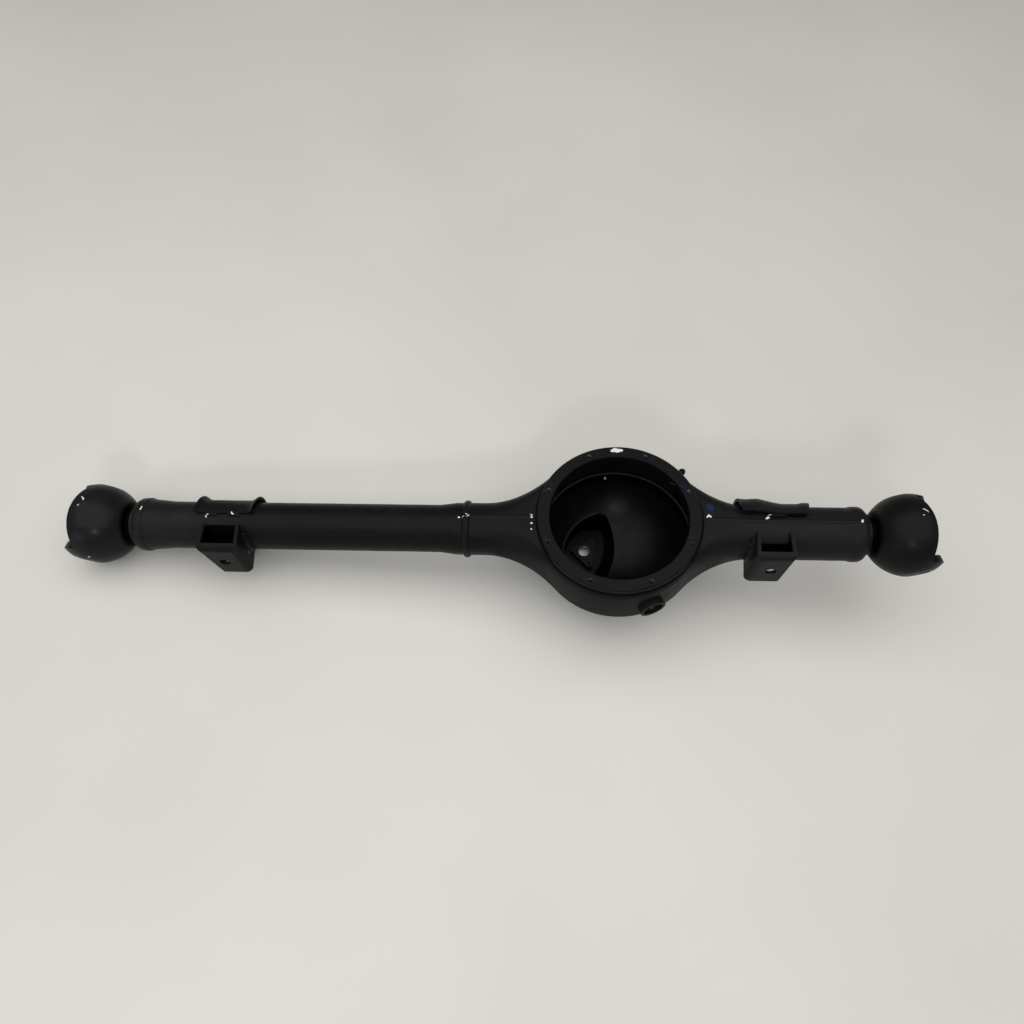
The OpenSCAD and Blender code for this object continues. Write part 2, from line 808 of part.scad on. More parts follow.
module left_seat_weld() {
    color(weld_paint) on_axis() translate([left_seat_x, 0, 0]) mirror([1, 0, 0])
        seat_fillet(tube_most(left_seat_x, left_seat_x + left_seat_w / 2 + fillet),
                    left_seat_w, left_lean);
}

module right_seat_weld() {
    foot = right_seat_x - right_seat_w / 2;
    color(weld_paint) on_axis() translate([right_seat_x, 0, 0])
        seat_fillet(half_width(foot - fillet, 0) + flat, right_seat_w, right_lean);
}

// Run of weld along an edge of a saddle, front and rear
module edge_run(carrier_r, edge, from, to, height) {
    r = carrier_r + fit;
    run = 6;
    for (a = [90 + edge, 90 - edge - run])
        turned_part([[r, from], [r + height / 2, from], [r + height, from + fillet],
                     [r + height, to - fillet], [r + height / 2, to], [r, to]], a, a + run);
}

module left_saddle_weld() {
    l = left_saddle_l;
    color(weld_paint) on_axis() translate([left_seat_x, 0, 0])
        for (run = [[-0.37 * l, -0.14 * l], [0.04 * l, 0.24 * l]])
            edge_run(tube_most(left_seat_x + run[0], left_seat_x + run[1]), left_saddle_angle,
                     run[0], run[1], left_saddle_t);
}

module right_saddle_weld() {
    color(weld_paint) on_axis() translate([right_seat_x, 0, 0])
        edge_run(neck_r, right_saddle_angle, -0.08 * right_saddle_l, 0.22 * right_saddle_l,
                 right_saddle_t);
}

upper_banjo_shell();
lower_banjo_shell();
carrier_ring();
dome_cover();
left_axle_tube();
left_knuckle_ball();
right_knuckle_ball();
left_spring_seat();
right_spring_seat();
left_saddle();
right_saddle();
filler_nut();
drain_boss();
breather_nipple();
breather_baffle();
tube_joint_weld();
left_ball_weld();
right_ball_weld();
front_seam_weld();
rear_seam_weld();
dome_weld();
left_seat_weld();
right_seat_weld();
left_saddle_weld();
right_saddle_weld();
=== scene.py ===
"""Looks of a bare axle housing: satin black paint, weld runs, cut threads and workshop marks."""
import json
import math
import random

import bpy
from mathutils import Matrix, Vector
from mathutils.bvhtree import BVHTree

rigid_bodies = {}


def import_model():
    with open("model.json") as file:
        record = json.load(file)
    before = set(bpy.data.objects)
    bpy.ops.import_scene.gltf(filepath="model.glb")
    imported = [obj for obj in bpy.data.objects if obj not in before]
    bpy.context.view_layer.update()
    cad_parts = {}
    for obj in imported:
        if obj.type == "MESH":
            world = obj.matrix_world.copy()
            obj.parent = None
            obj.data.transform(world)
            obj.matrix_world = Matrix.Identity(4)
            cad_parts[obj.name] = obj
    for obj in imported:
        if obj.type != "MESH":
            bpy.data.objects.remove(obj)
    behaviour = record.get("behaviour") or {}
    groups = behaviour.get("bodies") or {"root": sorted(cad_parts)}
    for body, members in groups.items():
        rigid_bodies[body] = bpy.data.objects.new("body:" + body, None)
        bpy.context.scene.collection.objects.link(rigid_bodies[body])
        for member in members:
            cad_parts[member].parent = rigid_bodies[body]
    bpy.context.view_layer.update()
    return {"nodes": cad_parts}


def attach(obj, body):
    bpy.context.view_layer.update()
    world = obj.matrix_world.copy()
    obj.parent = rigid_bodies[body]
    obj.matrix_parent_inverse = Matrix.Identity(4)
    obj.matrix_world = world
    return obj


for old in list(bpy.data.objects):
    bpy.data.objects.remove(old)

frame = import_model()
nodes = frame["nodes"]

# Places and sizes on the part, in metres, from the carrier axis and the ring's face

AXLE_Z = -0.043
LEFT_BALL = Vector((-0.7115, 0.0, AXLE_Z))
RIGHT_BALL = Vector((0.3785, 0.0, AXLE_Z))
KINGPIN_TILT = math.radians(11.0)
KINGPIN_CASTOR = math.radians(15.0)
KINGPIN_BORE_R = 0.0142
KINGPIN_BORE_END = 0.036
KINGPIN_FACE = 0.0518
DOME_CENTRE = (0.0, 0.0, -0.0255)
DOME_INNER_R = 0.1160
DOME_RIM_Z = -0.0606
DOME_RIM_R = 0.1016
POCKET_FLOOR_Z = -0.1467
POCKET_SIDE_R = 0.0722
TUBE_WELD_R = 0.036
DOME_WELD_R = 0.105
BOLT_COUNT = 8
BOLT_CIRCLE_R = 0.09875
BOLT_MOUTH_Z = -0.0012
FILLER_MOUTH = (-0.040, 0.017, -0.1397)
DRAIN_TURN = math.radians(-68)
DRAIN_MOUTH_R = 0.1133
DRAIN_Z = AXLE_Z - 0.007

# Cut threads: bore radius, depth of the thread, pitch and threaded length

BOLT_TAP = (0.00342, 0.00042, 0.00125, 0.0112)
FILLER_TAP = (0.00822, 0.0005, 0.0015, 0.0066)
DRAIN_TAP = (0.00927, 0.0005, 0.0015, 0.0080)

# Upright boxes, by their low and high corners

LEFT_SEAT_INSIDE = ((-0.5457, -0.0517, -0.0950), (-0.5018, -0.0150, -0.0100))
RIGHT_SEAT_INSIDE = ((0.1760, -0.0517, -0.0950), (0.2166, -0.0275, -0.0100))
FRONT_FLANK = ((-0.1600, -0.1250, -0.0900), (0.1300, -0.0300, -0.0125))
FLANK_FADE = 0.010

# Bands: where each starts, is full, starts to fade and has ended

RING_LIP = (0.1060, 0.1066, 0.1082, 0.1092)
POCKET_BEND = (0.0700, 0.0702, 0.0716, 0.0730)
NECK_GROOVE = (0.0430, 0.0465, 0.0530, 0.0540)

# Painted light along the axle: where the paint is plain and where the painted lightening is full

LEFT_LIGHT_SPAN = (-0.50, -0.58)
RIGHT_LIGHT_SPAN = (0.05, 0.19)

# Floor at the slope the part takes when it lies on plug pocket and left ball

FLOOR_UP = Vector((0.0832, 0.0027, 0.9965)).normalized()
FLOOR_DEPTH = 0.15663
FLOOR_HALF = 7.0
FLOOR_STEPS = 8


# Camera, solved from the photograph

CAMERA_PLACE = (-0.08264, -0.49846, 0.90287)
CAMERA_TURN = (29.05, 3.11, 0.76)
CAMERA_LENS = 27.944


def place_camera():
    data = bpy.data.cameras.new("camera")
    data.sensor_fit = "HORIZONTAL"
    data.sensor_width = 36.0
    data.lens = CAMERA_LENS
    data.clip_start = 0.01
    data.clip_end = 100.0
    camera = bpy.data.objects.new("camera", data)
    turn = Matrix.Identity(4)
    for angle, axis in zip(CAMERA_TURN, "XYZ"):
        turn = turn @ Matrix.Rotation(math.radians(angle), 4, axis)
    camera.matrix_world = Matrix.Translation(CAMERA_PLACE) @ turn
    bpy.context.scene.collection.objects.link(camera)
    bpy.context.scene.camera = camera


place_camera()


# Materials

class Shader:
    """One material and the nodes that feed its surface."""

    def __init__(self, name):
        self.material = bpy.data.materials.new(name)
        self.material.use_nodes = True
        self.tree = self.material.node_tree
        self.surface = self.tree.nodes["Principled BSDF"]
        self.place = self.add("ShaderNodeTexCoord").outputs["Object"]

    def add(self, kind, **settings):
        node = self.tree.nodes.new(kind)
        for key, value in settings.items():
            setattr(node, key, value)
        return node

    def feed(self, socket, value):
        if isinstance(value, bpy.types.NodeSocket):
            self.tree.links.new(value, socket)
        else:
            socket.default_value = value

    def noise(self, scale, detail=3.0, rough=0.5, where=None):
        node = self.add("ShaderNodeTexNoise")
        self.feed(node.inputs["Vector"], where or self.place)
        node.inputs["Scale"].default_value = scale
        node.inputs["Detail"].default_value = detail
        node.inputs["Roughness"].default_value = rough
        return node.outputs["Fac"]

    def math(self, operation, first, second=0.0):
        node = self.add("ShaderNodeMath", operation=operation)
        self.feed(node.inputs[0], first)
        self.feed(node.inputs[1], second)
        return node.outputs[0]

    def remap(self, value, low, high, to_low, to_high):
        node = self.add("ShaderNodeMapRange")
        self.feed(node.inputs["Value"], value)
        node.inputs["From Min"].default_value = low
        node.inputs["From Max"].default_value = high
        node.inputs["To Min"].default_value = to_low
        node.inputs["To Max"].default_value = to_high
        return node.outputs["Result"]

    def mix(self, factor, first, second):
        node = self.add("ShaderNodeMix", data_type="RGBA")
        self.feed(node.inputs["Factor"], factor)
        self.feed(node.inputs[6], first)
        self.feed(node.inputs[7], second)
        return node.outputs[2]

    def blend(self, factor, first, second):
        node = self.add("ShaderNodeMix", data_type="FLOAT")
        self.feed(node.inputs["Factor"], factor)
        self.feed(node.inputs[2], first)
        self.feed(node.inputs[3], second)
        return node.outputs[0]

    def offset(self, point):
        node = self.add("ShaderNodeVectorMath", operation="SUBTRACT")
        self.feed(node.inputs[0], self.place)
        node.inputs[1].default_value = point
        return node.outputs["Vector"]

    def dot(self, vector, direction):
        node = self.add("ShaderNodeVectorMath", operation="DOT_PRODUCT")
        self.feed(node.inputs[0], vector)
        node.inputs[1].default_value = direction
        return node.outputs["Value"]

    def length(self, vector):
        node = self.add("ShaderNodeVectorMath", operation="LENGTH")
        self.feed(node.inputs[0], vector)
        return node.outputs["Value"]

    def parts(self, vector):
        node = self.add("ShaderNodeSeparateXYZ")
        self.feed(node.inputs[0], vector)
        return node.outputs

    def scaled(self, vector, factors):
        node = self.add("ShaderNodeVectorMath", operation="MULTIPLY")
        self.feed(node.inputs[0], vector)
        node.inputs[1].default_value = factors
        return node.outputs["Vector"]

    def bump(self, height, strength, distance, under=None):
        node = self.add("ShaderNodeBump")
        node.inputs["Strength"].default_value = strength
        node.inputs["Distance"].default_value = distance
        self.feed(node.inputs["Height"], height)
        if under is not None:
            self.feed(node.inputs["Normal"], under)
        return node.outputs["Normal"]

    def both(self, first, second):
        return self.math("MULTIPLY", first, second)

    def band(self, value, start, full, fade, end):
        """1 from full to fade, going down to 0 at start and end."""
        return self.both(self.remap(value, start, full, 0.0, 1.0), self.remap(value, fade, end, 1.0, 0.0))

    def inside(self, low, high, soft=0.0008):
        """1 inside an upright box, falling to 0 over a short way outside it."""
        fill = 1.0
        for axis, start, end in zip(self.parts(self.place), low, high):
            fill = self.both(fill, self.band(axis, start - soft, start, end, end + soft))
        return fill

    def axis_distance(self):
        """Distance from the carrier axis."""
        return self.length(self.scaled(self.place, (1.0, 1.0, 0.0)))

    def facing_up(self):
        return self.parts(self.add("ShaderNodeNewGeometry").outputs["Normal"])[2]

    def finish(self, colour, rough, normal=None, metal=None, shine=0.5):
        self.feed(self.surface.inputs["Base Color"], colour)
        self.feed(self.surface.inputs["Roughness"], rough)
        self.feed(self.surface.inputs["Specular IOR Level"], shine)
        if normal is not None:
            self.feed(self.surface.inputs["Normal"], normal)
        if metal is not None:
            self.feed(self.surface.inputs["Metallic"], metal)
        return self.material


def shade(colour, factor):
    return (colour[0] * factor, colour[1] * factor, colour[2] * factor, 1.0)


BLACK = (0.0058, 0.0061, 0.0068)
# Painted light: lighter paint towards the left end, lighter bluish paint towards the right end
LEFT_END_LIGHT = (0.0150, 0.0148, 0.0156, 1.0)
RIGHT_END_LIGHT = (0.0115, 0.0121, 0.0136, 1.0)
DUST = (0.034, 0.032, 0.030, 1.0)
SHINE = 0.07
STEEL = (0.36, 0.35, 0.32)


def painted(sh, tint=1.0, rough=0.38, dust=0.08):
    """Colour and roughness of sprayed satin paint with settled dust; tint lightens or darkens it."""
    colour = shade(BLACK, tint)
    blotch = sh.noise(8.0, 4.0, 0.55)
    cloud = sh.noise(70.0, 5.0, 0.6)
    speck = sh.noise(900.0, 2.0, 0.5)
    tone = sh.mix(sh.remap(blotch, 0.3, 0.7, 0.0, 1.0), shade(colour, 0.82), shade(colour, 1.2))
    tone = sh.mix(sh.remap(speck, 0.62, 0.78, 0.0, 0.35), tone, shade(colour, 2.1))
    up = sh.remap(sh.facing_up(), 0.35, 1.0, 0.0, dust)
    settled = sh.both(up, sh.remap(cloud, 0.35, 0.75, 0.15, 1.0))
    tone = sh.mix(settled, tone, DUST)
    gloss = sh.remap(cloud, 0.3, 0.7, rough - 0.06, rough + 0.07)
    gloss = sh.math("ADD", gloss, sh.both(settled, 0.5))
    return tone, gloss


def orange_peel(sh, under=None, strength=0.12):
    """Normal of sprayed paint: fine grain over a slow wave."""
    fine = sh.bump(sh.noise(520.0, 2.0, 0.5), strength, 0.0004, under)
    return sh.bump(sh.noise(26.0, 2.0, 0.4), 0.10, 0.0020, fine)


def painted_shade(sh, tone, shade_mask, shine=SHINE):
    """Painted shade: paint darkened to near black and its sheen dulled where the mask is set."""
    return sh.mix(shade_mask, tone, shade(BLACK, 0.12)), sh.blend(shade_mask, shine, 0.012)


def lightened_along_axle(sh, tone, light_tone, clear, full):
    """Painted light: paint lightened towards one end, building up along the axle from clear to full in
    soft clouds.
    """
    along = sh.remap(sh.parts(sh.place)[0], clear, full, 0.0, 1.0)
    cloud = sh.remap(sh.noise(14.0, 3.0, 0.6), 0.25, 0.6, 0.35, 0.85)
    return sh.mix(sh.both(along, cloud), tone, light_tone)


def pressed_paint():
    """Paint of the pressings, with painted shade inside the seats and on the shell's lip round the ring,
    and a dull sheen on the front flank.
    """
    sh = Shader("pressed_paint")
    tone, gloss = painted(sh)
    # Painted light: lighter bluish paint towards the right end of the pressings
    tone = lightened_along_axle(sh, tone, RIGHT_END_LIGHT, *RIGHT_LIGHT_SPAN)
    # Painted shade: the insides of both spring seats are painted near black
    shade_mask = sh.math("MAXIMUM", sh.inside(*LEFT_SEAT_INSIDE), sh.inside(*RIGHT_SEAT_INSIDE))
    tone, shine = painted_shade(sh, tone, shade_mask)
    steep = sh.remap(sh.facing_up(), 0.10, 0.35, 1.0, 0.0)
    dulled = sh.both(steep, sh.inside(*FRONT_FLANK, FLANK_FADE))
    shine = sh.blend(dulled, shine, 0.034)
    # Painted shade: a darker band on the shell's lip round the ring, with its sheen dulled
    lip = sh.band(sh.axis_distance(), *RING_LIP)
    tone = sh.mix(lip, tone, shade(BLACK, 0.5))
    shine = sh.blend(lip, shine, 0.03)
    return sh.finish(tone, gloss, orange_peel(sh), shine=shine)


def tube_paint():
    """Paint over a drawn tube, with painted light towards the left ball and painted shade inside the left
    seat.
    """
    sh = Shader("tube_paint")
    tone, gloss = painted(sh, 0.95, 0.36, 0.06)
    drawn = sh.noise(240.0, 2.0, 0.5, sh.scaled(sh.place, (0.04, 1.0, 1.0)))
    # Painted light: lighter paint towards the left ball
    tone = lightened_along_axle(sh, tone, LEFT_END_LIGHT, *LEFT_LIGHT_SPAN)
    # Painted shade: the tube inside the left seat is painted near black
    tone, shine = painted_shade(sh, tone, sh.inside(*LEFT_SEAT_INSIDE))
    return sh.finish(tone, gloss, orange_peel(sh, sh.bump(drawn, 0.10, 0.0004)), shine=shine)


def bowl_paint():
    """Paint inside the dome, darkened as painted shade, with painted highlights on the rim edge and on the
    pocket's bend and painted shade on the walls of the plug pocket.
    """
    sh = Shader("bowl_paint")
    # Painted shade: the whole bowl is painted darker than the outside
    tone, gloss = painted(sh, 0.3, 0.36, 0.04)
    x, _, height = sh.parts(sh.place)
    radius = sh.axis_distance()
    from_centre = sh.length(sh.offset(DOME_CENTRE))
    outside_dome = sh.remap(from_centre, DOME_INNER_R - 0.0003, DOME_INNER_R + 0.0003, 0.0, 1.0)
    over_floor = sh.remap(height, POCKET_FLOOR_Z, POCKET_FLOOR_Z + 0.0009, 0.0, 1.0)
    pocket_side = sh.both(sh.math("GREATER_THAN", sh.facing_up(), -0.05),
                          sh.remap(radius, POCKET_SIDE_R, POCKET_SIDE_R + 0.0013, 1.0, 0.0))
    wall = sh.both(sh.both(outside_dome, over_floor), pocket_side)
    # Painted shade: the walls of the plug pocket are painted near black
    tone, shine = painted_shade(sh, tone, wall, 0.115)
    # Painted highlight: a thin line of steel tone along the dome's rim edge
    rim = sh.both(sh.remap(height, DOME_RIM_Z, DOME_RIM_Z + 0.0004, 0.0, 1.0),
                  sh.remap(radius, DOME_RIM_R, DOME_RIM_R + 0.0008, 1.0, 0.0))
    tone = sh.mix(rim, tone, shade(STEEL, 0.11))
    # Painted highlight: a lighter band along the left side of the pocket's bend
    bent = sh.band(radius, *POCKET_BEND)
    left = sh.remap(x, -0.026, -0.012, 1.0, 0.0)
    tone = sh.mix(sh.both(bent, left), tone, shade(BLACK, 2.6))
    return sh.finish(tone, gloss, orange_peel(sh, strength=0.2), shine=shine)


def ring_paint():
    """Paint over a faced ring, so turning marks show through it."""
    sh = Shader("ring_face_paint")
    tone, gloss = painted(sh, 0.85, 0.38, 0.08)
    turned = sh.add("ShaderNodeCombineXYZ")
    sh.feed(turned.inputs[0], sh.both(sh.axis_distance(), 60.0))
    marks = sh.noise(28.0, 2.0, 0.6, turned.outputs[0])
    return sh.finish(tone, gloss, orange_peel(sh, sh.bump(marks, 0.22, 0.0003)), shine=SHINE)


def ball_paint(name, centre, tilt, tint, coat):
    """Smooth ball, with oiled steel in the king-pin bores, the paint thin on their faces and painted shade
    in the neck groove.
    """
    sh = Shader(name)
    tone, gloss = painted(sh, tint, 0.36, 0.06)
    out = sh.offset(centre)
    # Painted shade: the neck groove between ball and weld is painted near black
    groove = sh.band(sh.math("ABSOLUTE", sh.parts(out)[0]), *NECK_GROOVE)
    tone, shine = painted_shade(sh, tone, groove)
    upright = math.cos(tilt)
    pin = (-math.sin(tilt), upright * math.cos(KINGPIN_CASTOR), upright * math.sin(KINGPIN_CASTOR))
    along = sh.math("ABSOLUTE", sh.dot(out, pin))
    across = sh.add("ShaderNodeVectorMath", operation="CROSS_PRODUCT")
    sh.feed(across.inputs[0], out)
    across.inputs[1].default_value = pin
    bore = sh.math("LESS_THAN", sh.length(across.outputs["Vector"]), KINGPIN_BORE_R)
    bare = sh.both(bore, sh.math("GREATER_THAN", along, KINGPIN_BORE_END))
    film = sh.noise(90.0, 5.0, 0.6)
    metal_tone = sh.mix(sh.remap(film, 0.35, 0.7, 0.0, 1.0), shade(STEEL, 0.25), shade(STEEL, 0.6))
    face = sh.math("GREATER_THAN", along, KINGPIN_FACE)
    worn = sh.both(face, sh.remap(film, 0.35, 0.7, 0.15, 0.6))
    tone = sh.mix(worn, tone, shade(STEEL, 0.2))
    shine = sh.blend(face, shine, 0.5)
    colour = sh.mix(bare, tone, metal_tone)
    rough = sh.blend(bare, gloss, sh.remap(film, 0.3, 0.7, 0.30, 0.45))
    lines = sh.noise(700.0, 2.0, 0.5, sh.scaled(sh.place, (1.0, 0.05, 1.0)))
    normal = sh.bump(lines, 0.05, 0.0002, sh.bump(sh.noise(420.0, 2.0, 0.5), 0.06, 0.0003))
    sh.feed(sh.surface.inputs["Coat Weight"], sh.blend(groove, coat, 0.0))
    sh.surface.inputs["Coat Roughness"].default_value = 0.2
    return sh.finish(colour, rough, normal, sh.both(bare, 0.9), shine)


def weld_paint(name, kind, pitch, ripple, tint=1.1):
    """Painted weld bead whose ripples run along it."""
    sh = Shader(name)
    tone, gloss = painted(sh, tint, 0.36, 0.08)
    x, y, z = sh.parts(sh.offset((0.0, 0.0, AXLE_Z)))
    if kind == "around_x":
        path = sh.both(sh.math("ARCTAN2", y, z), TUBE_WELD_R)
    elif kind == "around_z":
        path = sh.both(sh.math("ARCTAN2", y, x), DOME_WELD_R)
    else:
        path = x
    warped = sh.math("ADD", path, sh.both(sh.noise(140.0, 2.0, 0.5), pitch * 0.9))
    wave = sh.math("SINE", sh.both(warped, 2.0 * math.pi / pitch))
    lump = sh.noise(160.0, 3.0, 0.55)
    normal = sh.bump(wave, ripple, 0.0005, sh.bump(lump, ripple, 0.0012))
    return sh.finish(tone, gloss, normal, shine=SHINE * 1.2)


def cut_steel(name, dull, bright, oil_and_shade):
    """Steel of a cut thread, between two shades, with black patches that stand partly for oil and partly
    for painted shade in the bore.
    """
    sh = Shader(name)
    film = sh.noise(400.0, 4.0, 0.6)
    colour = sh.mix(sh.remap(film, 0.35, 0.7, 0.0, 1.0), shade(STEEL, dull), shade(STEEL, bright))
    oil_and_shade_patch = sh.remap(sh.noise(210.0, 2.0, 0.5), 0.47, 0.55, 0.0, oil_and_shade)
    colour = sh.mix(oil_and_shade_patch, colour, shade(BLACK, 0.4))
    rough = sh.remap(film, 0.3, 0.7, 0.25, 0.42)
    return sh.finish(colour, rough, sh.bump(film, 0.1, 0.0002), sh.blend(oil_and_shade_patch, 0.95, 0.0))


def mark_and_highlight_paint(name, colour, wear, shine=0.4):
    """Brushed-on marking paint, thin at its edges, also used for painted highlight strips."""
    sh = Shader(name)
    thin = sh.noise(620.0, 4.0, 0.65)
    tone = sh.mix(sh.remap(thin, 0.3, 0.72, 0.0, wear), (*colour, 1.0), shade(colour, 0.45))
    rough = sh.remap(thin, 0.3, 0.7, 0.45, 0.7)
    return sh.finish(tone, rough, sh.bump(thin, 0.3, 0.0003), shine=shine)


def gap_shadow():
    """Painted shadow: near-black paint for the shade in a gap."""
    sh = Shader("gap_shadow")
    patch = sh.noise(300.0, 3.0, 0.6)
    tone = sh.mix(patch, shade(BLACK, 0.08), shade(BLACK, 0.25))
    return sh.finish(tone, 0.7, sh.bump(patch, 0.2, 0.0003), shine=0.02)


def floor_sheet():
    """Pale packing sheet with a fine cellular skin."""
    sh = Shader("pale_sheet")
    cloud = sh.noise(1.6, 3.0, 0.5)
    tone = sh.mix(sh.remap(cloud, 0.3, 0.7, 0.0, 1.0), (0.62, 0.615, 0.585, 1.0), (0.68, 0.675, 0.65, 1.0))
    skin = sh.noise(420.0, 3.0, 0.6)
    rough = sh.remap(skin, 0.3, 0.7, 0.72, 0.88)
    return sh.finish(tone, rough, sh.bump(skin, 0.12, 0.0006))


PAINT = pressed_paint()
TUBE = tube_paint()
BOWL = bowl_paint()
RING = ring_paint()
# Painted light: the left ball's paint is lighter than the right ball's
LEFT_BALL_PAINT = ball_paint("left_ball_paint", LEFT_BALL, -KINGPIN_TILT, 1.7, 0.06)
RIGHT_BALL_PAINT = ball_paint("right_ball_paint", RIGHT_BALL, KINGPIN_TILT, 0.9, 0.012)
ROUND_WELD = weld_paint("round_weld_paint", "around_x", 0.0042, 0.25)
# Painted shade: the seat welds are painted darker than the other welds
SEAT_WELD = weld_paint("seat_weld_paint", "around_x", 0.0042, 0.30, 0.5)
DOME_WELD = weld_paint("dome_weld_paint", "around_z", 0.0045, 0.45)
SEAM_WELD = weld_paint("seam_weld_paint", "along_x", 0.0034, 0.06)
STRAIGHT_WELD = weld_paint("straight_weld_paint", "along_x", 0.0034, 0.45)
# Partly painted shade: the ring's tapped holes get many black patches, for oil and for the shaded side of
# each bore
RING_THREAD = cut_steel("ring_thread_steel", 0.8, 1.6, 0.9)
FILLER_THREAD = cut_steel("filler_thread_steel", 1.2, 1.9, 0.1)
DRAIN_THREAD = cut_steel("drain_thread_paint", 0.06, 0.11, 0.4)
WHITE = mark_and_highlight_paint("white_marker_and_highlight", (0.78, 0.78, 0.76), 0.35)
BLUE = mark_and_highlight_paint("blue_marker", (0.009, 0.012, 0.040), 0.6, SHINE)
PALE_BLUE = mark_and_highlight_paint("pale_blue_marker", (0.011, 0.024, 0.085), 0.5, SHINE)
GAP_SHADOW = gap_shadow()
BREATHER_HIGHLIGHT = mark_and_highlight_paint("painted_highlight_strip", (0.075, 0.072, 0.066), 0.6)
RED = mark_and_highlight_paint("red_marker", (0.16, 0.035, 0.03), 0.7)

NODE_PAINT = {
    "upper_banjo_shell": PAINT, "lower_banjo_shell": PAINT, "carrier_ring": RING,
    "dome_cover": BOWL, "left_axle_tube": TUBE,
    "left_knuckle_ball": LEFT_BALL_PAINT, "right_knuckle_ball": RIGHT_BALL_PAINT,
    "left_spring_seat": PAINT, "right_spring_seat": PAINT,
    "left_saddle": PAINT, "right_saddle": PAINT,
    "filler_nut": PAINT, "drain_boss": PAINT, "breather_nipple": PAINT, "breather_baffle": PAINT,
    "tube_joint_weld": ROUND_WELD, "left_ball_weld": ROUND_WELD, "right_ball_weld": ROUND_WELD,
    "front_seam_weld": SEAM_WELD, "rear_seam_weld": SEAM_WELD, "dome_weld": DOME_WELD,
    "left_seat_weld": SEAT_WELD, "right_seat_weld": SEAT_WELD,
    "left_saddle_weld": STRAIGHT_WELD, "right_saddle_weld": STRAIGHT_WELD,
}


# Shading of the solids: facets of pressed forms are smoothed, real edges stay sharp

def dress(name, material):
    body = nodes[name]
    body.data.materials.clear()
    body.data.materials.append(material)
    for face in body.data.polygons:
        face.material_index = 0
        face.use_smooth = True
    if "custom_normal" in body.data.attributes:
        body.data.attributes.remove(body.data.attributes["custom_normal"])
    weld = body.modifiers.new("join", "WELD")
    weld.merge_threshold = 0.00001
    split = body.modifiers.new("edges", "EDGE_SPLIT")
    split.split_angle = math.radians(32.0)
    split.use_edge_sharp = False


for node_name, node_material in NODE_PAINT.items():
    dress(node_name, node_material)


# Surface of the whole part, to lay marks and weld runs on

def whole_surface():
    points = []
    faces = []
    for body in nodes.values():
        start = len(points)
        points += [vertex.co.copy() for vertex in body.data.vertices]
        faces += [[start + index for index in face.vertices] for face in body.data.polygons]
    return BVHTree.FromPolygons(points, faces)


SKIN = whole_surface()


def add_piece(name, points, faces, material):
    mesh = bpy.data.meshes.new(name)
    mesh.from_pydata(points, [], faces)
    mesh.update()
    for face in mesh.polygons:
        face.use_smooth = True
    mesh.materials.append(material)
    piece = bpy.data.objects.new(name, mesh)
    bpy.context.scene.collection.objects.link(piece)
    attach(piece, "root")


